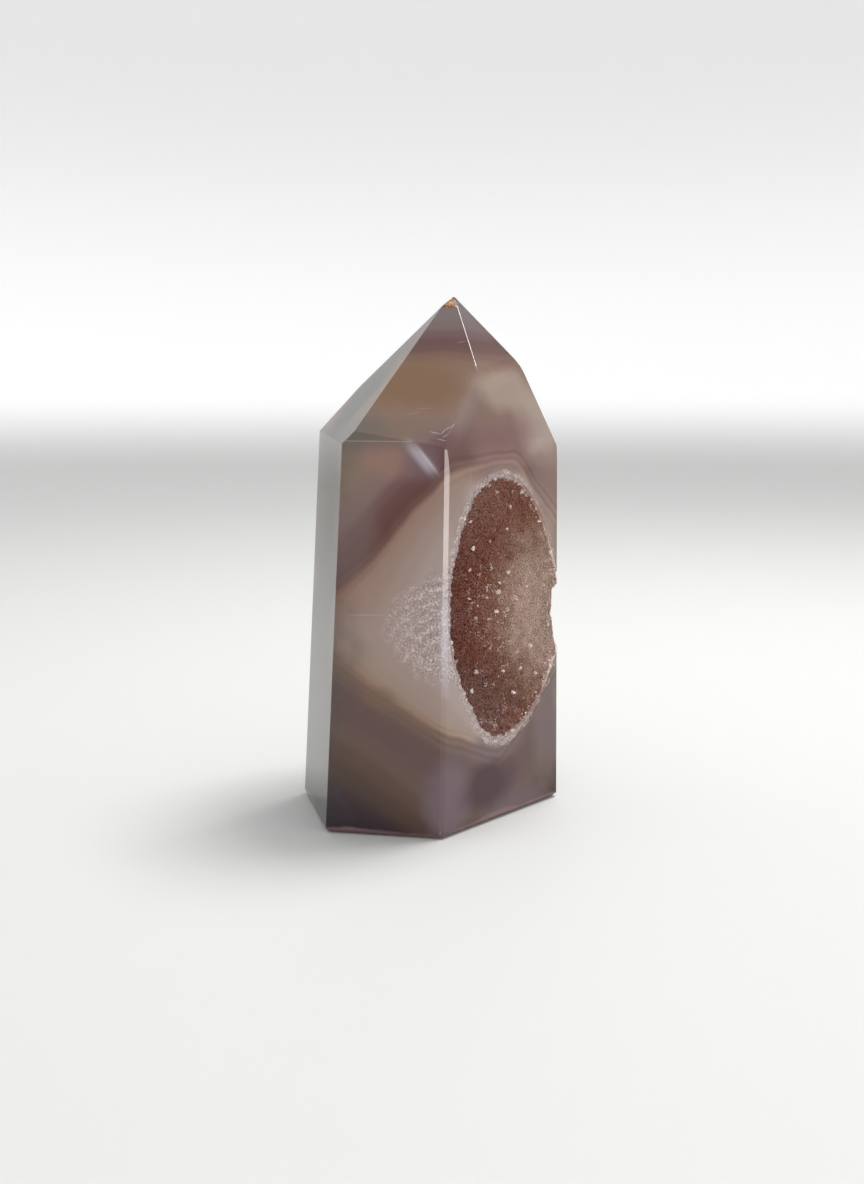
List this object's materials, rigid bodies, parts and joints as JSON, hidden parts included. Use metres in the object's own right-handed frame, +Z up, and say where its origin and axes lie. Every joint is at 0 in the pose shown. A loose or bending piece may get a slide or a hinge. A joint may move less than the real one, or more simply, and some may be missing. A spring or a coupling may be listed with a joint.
{
  "type": "druzy agate tower",
  "caption": "Free-standing polished point of banded agate, ground flat at the base, with an open hollow in its front face lined with small quartz crystals.",
  "frame": {"origin": "under the middle of the base's outline, on the surface that the tower stands on", "axes": "+Z up along the stone towards the tip; -Y out of the front face, which holds the hollow; +X to the right seen from the front"},
  "size_m": [0.046, 0.0324, 0.0804],
  "materials": {
    "agate": "high polish, banded in mauve, brown, beige and grey, whitish quartz next to the hollow",
    "quartz_crystals": "sparkling fine quartz crystals, reddish brown deep in the hollow, taupe and whitish at the rim"
  },
  "bodies": {
    "root": {"agate_tower": "agate", "druzy_crust": "quartz_crystals"}
  },
  "joints": []
}
